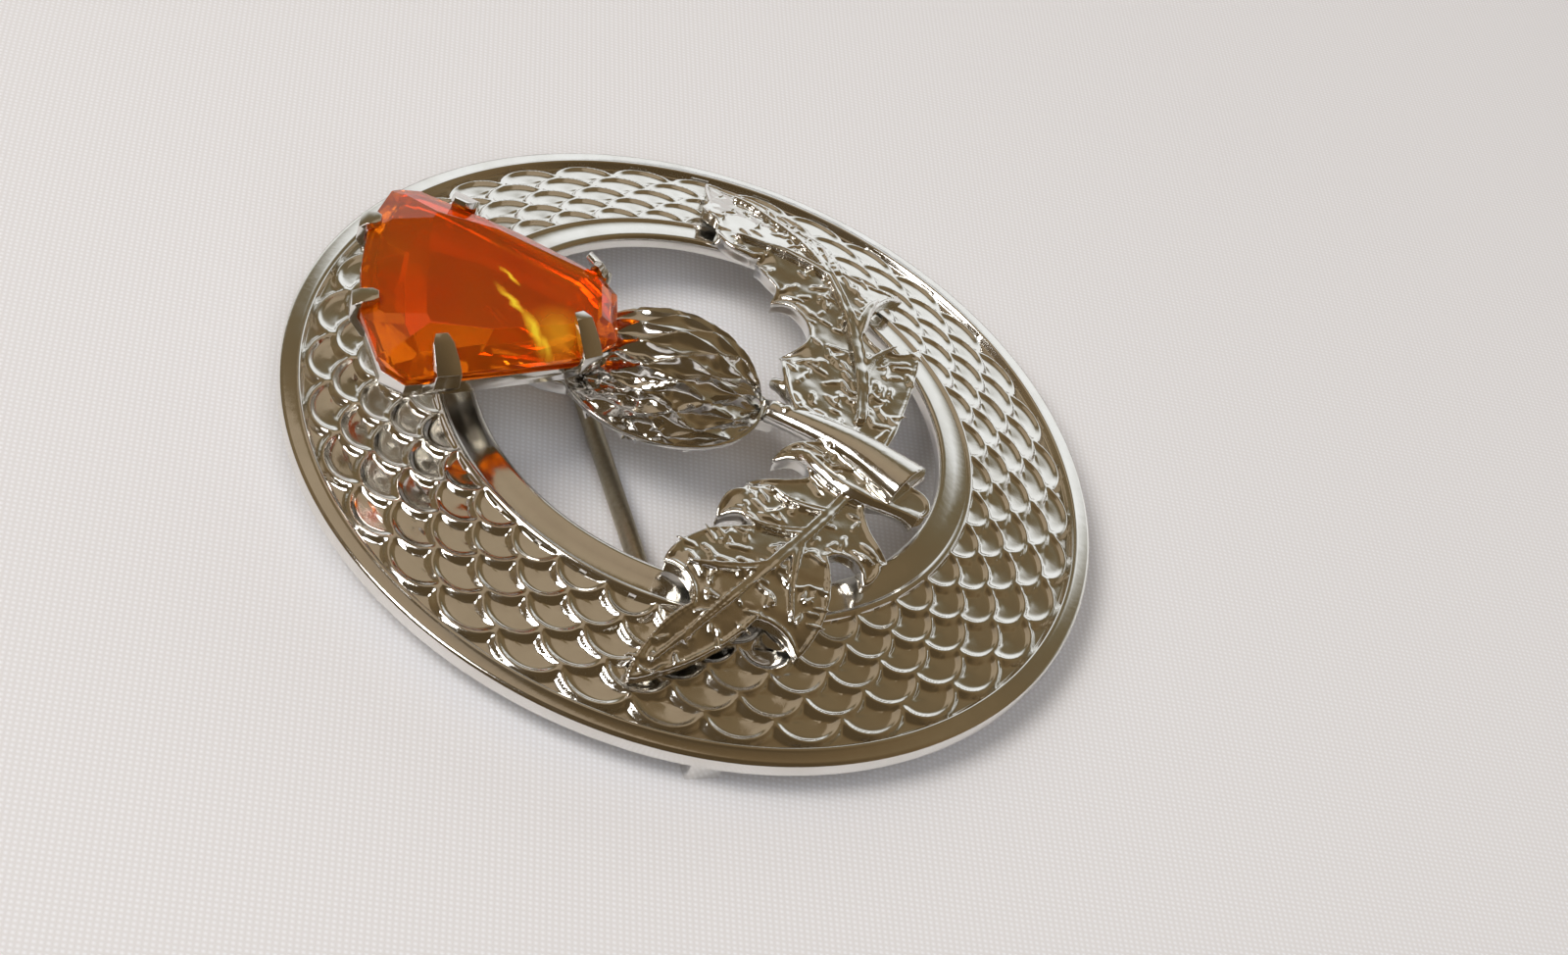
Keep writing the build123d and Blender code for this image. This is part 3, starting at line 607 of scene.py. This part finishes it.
def midribLine(shape, path, aside):
    # a raised line beside a leaf's midrib, following the leaf's top
    start, middle, end = [Vector((*point, 0)) for point in path]
    bpy.ops.curve.primitive_nurbs_path_add()
    line = named("midrib_line")
    bpy.ops.object.mode_set(mode="EDIT")
    bpy.ops.curve.select_all(action="SELECT")
    bpy.ops.curve.subdivide(number_cuts=2)
    bpy.ops.object.mode_set(mode="OBJECT")
    points = line.data.splines[0].points
    bow = middle - (start + end) / 2
    thick, thin = shape["midribTaper"]
    for step, point in enumerate(points):
        share = step / (len(points) - 1)
        taper = thick + (thin - thick) * share
        here = start.lerp(end, share) + bow * (4 * share * (1 - share))
        way = (end - start + bow * (4 - 8 * share)).normalized()
        here = (here + Vector((-way.y, way.x, 0)) * aside * taper) * mm
        here.z = (leafTop(shape, here) + shape["ribRise"] - shape["midribSink"]) * mm
        point.co = (*here, 1)
        point.radius = taper
    line.data.resolution_u = 4
    line.data.bevel_depth = shape["midribRadius"] * mm
    line.data.bevel_resolution = 1
    line.data.use_fill_caps = True
    pickOnly(line)
    bpy.ops.object.convert(target="MESH")
    return bpy.context.object


def hammerSkin(item, shape):
    # waves all over the leaves, none on the stem
    corners = [Vector(point) for point in shape["stemAxis"]]
    stem = [start.lerp(end, share) for start, end in zip(corners, corners[1:]) for share in (0, 0.5, 1)]
    smooth, rough = shape["smoothReach"]
    lifts = []
    for vertex in item.data.vertices:
        place = vertex.co / mm
        near = min((place.xy - point).length for point in stem)
        share = min(max((near - smooth) / (rough - smooth), 0), 1)
        wave = sum(height * noise.noise(place / size) for size, height in shape["ripple"])
        lifts.append(vertex.normal * (wave * share * mm))
    for vertex, lift in zip(item.data.vertices, lifts):
        vertex.co += lift


def curlTips(item, shape):
    # the lobes' tips bend down
    for vertex in item.data.vertices:
        for x, y, reach, drop in shape["curls"]:
            near = 1 - math.hypot(vertex.co.x / mm - x, vertex.co.y / mm - y) / reach
            if near > 0:
                vertex.co.z -= drop * near * near * mm


spray = nodeCopy("spray", "spray_casting")
leafFaces = facesOnTop(spray, sprayShape, "leaf")
sprayParts = [spray]
for kind, radius, name in (
    ("both", sprayShape["rimRadius"], "leaf_edge"), ("rib", sprayShape["ribLineRadius"], "rib_edge"),
):
    sprayParts.append(rimRound(spray, facesOnTop(spray, sprayShape, kind), radius, name))
sprayParts.extend(scatterMarks(spray, leafFaces, sprayShape))
for path in sprayShape["midribs"]:
    for aside in (sprayShape["midribGap"], -sprayShape["midribGap"]):
        sprayParts.append(midribLine(sprayShape, path, aside))
for points in sprayShape["folds"]:
    sprayParts.append(foldedEdge(points))
spray = joinAll(sprayParts, "spray_casting")
finishWith(spray, "REMESH", mode="VOXEL", voxel_size=sprayShape["voxel"] * mm)
hammerSkin(spray, sprayShape)
curlTips(spray, sprayShape)
factor, times = sprayShape["smoothing"]
finishWith(spray, "SMOOTH", factor=factor, iterations=times)
trianglesNow = 2 * len(spray.data.polygons)
finishWith(spray, "DECIMATE", ratio=min(1, sprayShape["faces"] / trianglesNow))
pickOnly(spray)
bpy.ops.object.shade_smooth()
spray.data.materials.append(platedCasting)
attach(spray, "brooch")
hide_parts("spray")
print("spray made:", len(spray.data.polygons), "faces")


# Setting: the cup and its claws, edges eased

settingShape = {
    "edge": 0.16,
    "steps": 4,
    "bevelAngle": 35,       # degrees; flatter edges stay as they are
    "smoothAngle": 45,
}
setting = nodeCopy("setting", "setting_claws")
mergeFlat(setting)
finishWith(
    setting, "BEVEL", width=settingShape["edge"] * mm, segments=settingShape["steps"],
    limit_method="ANGLE", angle_limit=math.radians(settingShape["bevelAngle"]),
)
pickOnly(setting)
bpy.ops.object.shade_smooth_by_angle(angle=math.radians(settingShape["smoothAngle"]))
setting.data.materials.append(platedCasting)
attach(setting, "brooch")
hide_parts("setting")
print("setting made:", len(setting.data.polygons), "faces")


# Stone: the cut facets with very slightly worn edges

# amber-coloured glass: clear deep orange, with yellow glints painted into its colour as bright streaks at
# the narrow end, where it is also less clear
stoneShape = {
    "edge": 0.05,
    "bevelAngle": 8,        # degrees; the facets' own edges are steeper
    "deep": "FF6606",
    "body": "FF9016",
    "paintedGlint": "FFD834",
    "flameSize": 5.0,       # mm across the body's tone changes
    "paintedGlints": [
        # each painted glint's x, y, turn in degrees, half length, half width, strength
        (0.4, 14.7, -137, 1.2, 0.26, 1.00),
        (-1.8, 14.5, -141, 2.1, 0.36, 1.00),
        (-3.9, 13.0, -150, 2.3, 0.60, 1.00),
        (-4.6, 12.2, 40, 1.3, 0.55, 1.00),
        (-3.6, 11.6, 0, 2.6, 2.10, 0.45),
    ],
    "paintedGlintTop": 11.8,        # height of the painted glints' middles
    "paintedGlintDepth": 2.0,       # and how far they reach up and down
    "paintedGlintCore": 0.2,        # share of a painted glint that is painted at full strength
    "jitter": 0.6,          # how far a painted glint's outline wanders
    "jitterSize": 0.8,
    "clear": (0.85, 0.10),  # share of light let through: clear glass, brightest painted glint
    "roughness": 0.02,
    "refraction": 1.55,
}
amberGlass, tree = newMaterial("amber_glass")
place = addNode(tree, "ShaderNodeTexCoord")
flame = addNode(
    tree, "ShaderNodeTexNoise",
    {"Scale": 1 / (stoneShape["flameSize"] * mm), "Detail": 2.0}, {"Vector": (place, "Object")},
)
speckle = addNode(
    tree, "ShaderNodeTexNoise",
    {"Scale": 1 / (stoneShape["jitterSize"] * mm), "Detail": 3.0}, {"Vector": (place, "Object")},
)
jitter = addNode(tree, "ShaderNodeVectorMath", {"operation": "MULTIPLY_ADD"})
tree.links.new(speckle.outputs["Color"], jitter.inputs[0])
jitter.inputs[1].default_value = Vector((1, 1, 0)) * stoneShape["jitter"] * mm
tree.links.new(place.outputs["Object"], jitter.inputs[2])
paintedGlintShare = None
shift = stoneShape["jitter"] / 2
# each painted glint: a bright yellow patch painted into the glass's colour
for x, y, turn, halfLength, halfWidth, strength in stoneShape["paintedGlints"]:
    spot = addNode(tree, "ShaderNodeMapping", {"vector_type": "TEXTURE"}, {"Vector": (jitter, "Vector")})
    spot.inputs["Location"].default_value = Vector((x + shift, y + shift, stoneShape["paintedGlintTop"])) * mm
    spot.inputs["Rotation"].default_value = (0, 0, math.radians(turn))
    spot.inputs["Scale"].default_value = Vector((halfLength, halfWidth, stoneShape["paintedGlintDepth"])) * mm
    reach = addNode(tree, "ShaderNodeVectorMath", {"operation": "LENGTH"}, {0: (spot, "Vector")})
    share = addNode(
        tree, "ShaderNodeMapRange",
        {"From Min": stoneShape["paintedGlintCore"], "From Max": 1.0, "To Min": strength, "To Max": 0.0},
        {"Value": (reach, "Value")},
    )
    if paintedGlintShare is None:
        paintedGlintShare = share.outputs["Result"]
    else:
        both = addNode(tree, "ShaderNodeMath", {"operation": "MAXIMUM"})
        tree.links.new(paintedGlintShare, both.inputs[0])
        tree.links.new(share.outputs["Result"], both.inputs[1])
        paintedGlintShare = both.outputs["Value"]
body = mixTones(tree, stoneShape["deep"], stoneShape["body"], flame.outputs["Fac"])
# painted glints: yellow painted over the body's tone where they lie
toneWithPaintedGlints = mixTones(tree, stoneShape["body"], stoneShape["paintedGlint"], paintedGlintShare)
tree.links.new(body.outputs[2], toneWithPaintedGlints.inputs[6])   # the body's own changing tone, not just one
clear = addNode(
    tree, "ShaderNodeMapRange", {"To Min": stoneShape["clear"][0], "To Max": stoneShape["clear"][1]}
)
tree.links.new(paintedGlintShare, clear.inputs["Value"])
coverWith(
    tree, toneWithPaintedGlints, {"Roughness": stoneShape["roughness"], "IOR": stoneShape["refraction"]},
    {"Transmission Weight": (clear, "Result")},
)
stone = nodeCopy("stone", "stone_cut")
mergeFlat(stone)
finishWith(
    stone, "BEVEL", width=stoneShape["edge"] * mm, segments=1,
    limit_method="ANGLE", angle_limit=math.radians(stoneShape["bevelAngle"]),
)
pickOnly(stone)
bpy.ops.object.shade_flat()
stone.data.materials.append(amberGlass)
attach(stone, "brooch")
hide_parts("stone")
print("stone made:", len(stone.data.polygons), "faces")


# Pin, hinge and catch keep their CAD shapes and take real finishes

# drawn steel wire: greyer and duller than the plate, with faint uneven drawing marks
wireFinish = {
    "pale": "B9B09C",
    "dark": "978D78",
    "markSize": 0.25,       # mm
    "markDepth": 0.01,
    "markStrength": 0.3,
    "roughness": 0.36,
}
drawnSteel, tree = newMaterial("drawn_steel_wire")
place = addNode(tree, "ShaderNodeTexCoord")
drawing = addNode(
    tree, "ShaderNodeTexNoise",
    {"Scale": 1 / (wireFinish["markSize"] * mm), "Detail": 3.0}, {"Vector": (place, "Object")},
)
wireTone = mixTones(tree, wireFinish["pale"], wireFinish["dark"], drawing.outputs["Fac"])
wireBump = addNode(
    tree, "ShaderNodeBump",
    {"Strength": wireFinish["markStrength"], "Distance": wireFinish["markDepth"] * mm},
    {"Height": (drawing, "Fac")},
)
coverWith(
    tree, wireTone, {"Metallic": 1.0, "Roughness": wireFinish["roughness"]}, {"Normal": (wireBump, "Normal")}
)
for node, material in (
    ("pin_stem", drawnSteel), ("pin_hinge", platedCasting), ("pin_catch", platedCasting),
):
    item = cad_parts[node]
    item.data.materials.clear()
    item.data.materials.append(material)
print("pin, hinge and catch finished")


# Camera, as the photograph was taken

view = {
    "place": (-0.11738, 0.03613, 0.11168),  # metres
    "right": (-0.0532, -0.9501, 0.3074),
    "ahead": (0.7002, -0.2549, -0.6669),
    "lens": 58.5,           # mm, like the film's width
    "film": 36,
    "clip": (0.005, 20),    # metres
}
cameraData = bpy.data.cameras.new("photo_camera")
cameraData.lens = view["lens"]
cameraData.sensor_width = view["film"]
cameraData.clip_start, cameraData.clip_end = view["clip"]
camera = bpy.data.objects.new("photo_camera", cameraData)
bpy.context.scene.collection.objects.link(camera)
back = -Vector(view["ahead"]).normalized()
right = Vector(view["right"]).normalized()
above = back.cross(right)
camera.matrix_world = Matrix((
    (right.x, above.x, back.x, view["place"][0]),
    (right.y, above.y, back.y, view["place"][1]),
    (right.z, above.z, back.z, view["place"][2]),
    (0, 0, 0, 1),
))
bpy.context.scene.camera = camera


# Floor: a plain cloth laid flat

# pale satin: soft and near white, with a fine even weave
floorShape = {
    "size": 3.0,            # metres
    "thread": 0.36,         # mm between threads
    "threadDepth": 0.03,
    "threadStrength": 0.25,
    "roughness": 0.6,
    "pale": "F3F0EF",
    "deep": "E4DFDB",
}
bpy.ops.mesh.primitive_plane_add(size=floorShape["size"], location=(0, 0, 0))
floor = named("floor")
cloth, tree = newMaterial("pale_satin")
place = addNode(tree, "ShaderNodeTexCoord")
waveScale = 0.314 / (floorShape["thread"] * mm)   # a wave texture's period is 0.314 over its scale
warp = addNode(
    tree, "ShaderNodeTexWave", {"bands_direction": "X", "Scale": waveScale}, {"Vector": (place, "Object")}
)
weft = addNode(
    tree, "ShaderNodeTexWave", {"bands_direction": "Y", "Scale": waveScale}, {"Vector": (place, "Object")}
)
weave = addNode(tree, "ShaderNodeMath", {"operation": "MULTIPLY"})
tree.links.new(warp.outputs["Fac"], weave.inputs[0])
tree.links.new(weft.outputs["Fac"], weave.inputs[1])
weaveBump = addNode(
    tree, "ShaderNodeBump",
    {"Strength": floorShape["threadStrength"], "Distance": floorShape["threadDepth"] * mm},
    {"Height": (weave, "Value")},
)
clothTone = mixTones(tree, floorShape["deep"], floorShape["pale"], weave.outputs["Value"])
coverWith(tree, clothTone, {"Roughness": floorShape["roughness"]}, {"Normal": (weaveBump, "Normal")})
floor.data.materials.append(cloth)


# Light: a pale room, brown overhead where the photographer stands, bright windows low down behind

light = {
    "brightSide": (0.80, -0.25, -0.55),
    "leanRange": (-0.6, 0.9),   # how far a direction leans to the bright side, from and to
    "room": [
        # share of that range, colour there
        (0.0, "54452F"), (0.20, "705C40"), (0.35, "7A684C"), (0.50, "6E5E44"), (0.61, "73684F"),
        (0.675, "B6B4AC"), (0.73, "E6E7E5"), (0.80, "FDFFFF"),
    ],
    "unevenness": 0.25,     # how much the room's patches shift that share
    "patchSize": 0.5,
}
world = bpy.data.worlds.new("room")
bpy.context.scene.world = world
world.use_nodes = True
tree = world.node_tree
tree.nodes.clear()
look = addNode(tree, "ShaderNodeTexCoord")
lean = addNode(tree, "ShaderNodeVectorMath", {"operation": "DOT_PRODUCT"})
tree.links.new(look.outputs["Generated"], lean.inputs[0])
lean.inputs[1].default_value = Vector(light["brightSide"]).normalized()
patches = addNode(
    tree, "ShaderNodeTexNoise",
    {"Scale": 1 / light["patchSize"], "Detail": 2.0}, {"Vector": (look, "Generated")},
)
uneven = addNode(tree, "ShaderNodeMath", {"operation": "MULTIPLY_ADD"})
tree.links.new(patches.outputs["Fac"], uneven.inputs[0])
uneven.inputs[1].default_value = light["unevenness"]
tree.links.new(lean.outputs["Value"], uneven.inputs[2])
share = addNode(
    tree, "ShaderNodeMapRange",
    {
        "From Min": light["leanRange"][0] + light["unevenness"] / 2,
        "From Max": light["leanRange"][1] + light["unevenness"] / 2,
    },
    {"Value": (uneven, "Value")},
)
ramp = addNode(tree, "ShaderNodeValToRGB", {}, {"Fac": (share, "Result")})
stops = ramp.color_ramp.elements
while len(stops) < len(light["room"]):
    stops.new(1.0)
for stop, (position, colour) in zip(stops, light["room"]):
    stop.position = position
    stop.color = hexColour(colour)
sky = addNode(tree, "ShaderNodeBackground", {"Strength": 1.0}, {"Color": (ramp, "Color")})
addNode(tree, "ShaderNodeOutputWorld", {}, {"Surface": (sky, "Background")})

lamps = [
    # name, direction, distance, size, power, colour, whether the metal mirrors it
    ("window", (-0.20, 0.62, 0.76), 0.90, 0.34, 4.0, "FFFDFA", True),
    ("ceiling", (0.42, 0.15, 0.90), 1.00, 0.70, 0.3, "FFEFD8", True),
    ("nearFill", (-0.66, -0.02, 0.75), 2.00, 1.60, 18.0, "E6F0FF", False),
    ("leftFill", (-0.10, 0.72, 0.69), 2.60, 1.80, 21.6, "E6F0FF", False),
]
for name, way, distance, size, power, colour, mirrored in lamps:
    lampData = bpy.data.lights.new(name, "AREA")
    lampData.size = size
    lampData.energy = power
    lampData.color = hexColour(colour)[:3]
    lamp = bpy.data.objects.new(name, lampData)
    bpy.context.scene.collection.objects.link(lamp)
    lamp.location = Vector(way).normalized() * distance
    lamp.rotation_euler = (-Vector(way)).to_track_quat("-Z", "Y").to_euler()
    lamp.visible_glossy = mirrored

bpy.context.scene.view_settings.view_transform = "Standard"
print("camera, floor and light set")

bpy.context.view_layer.update()
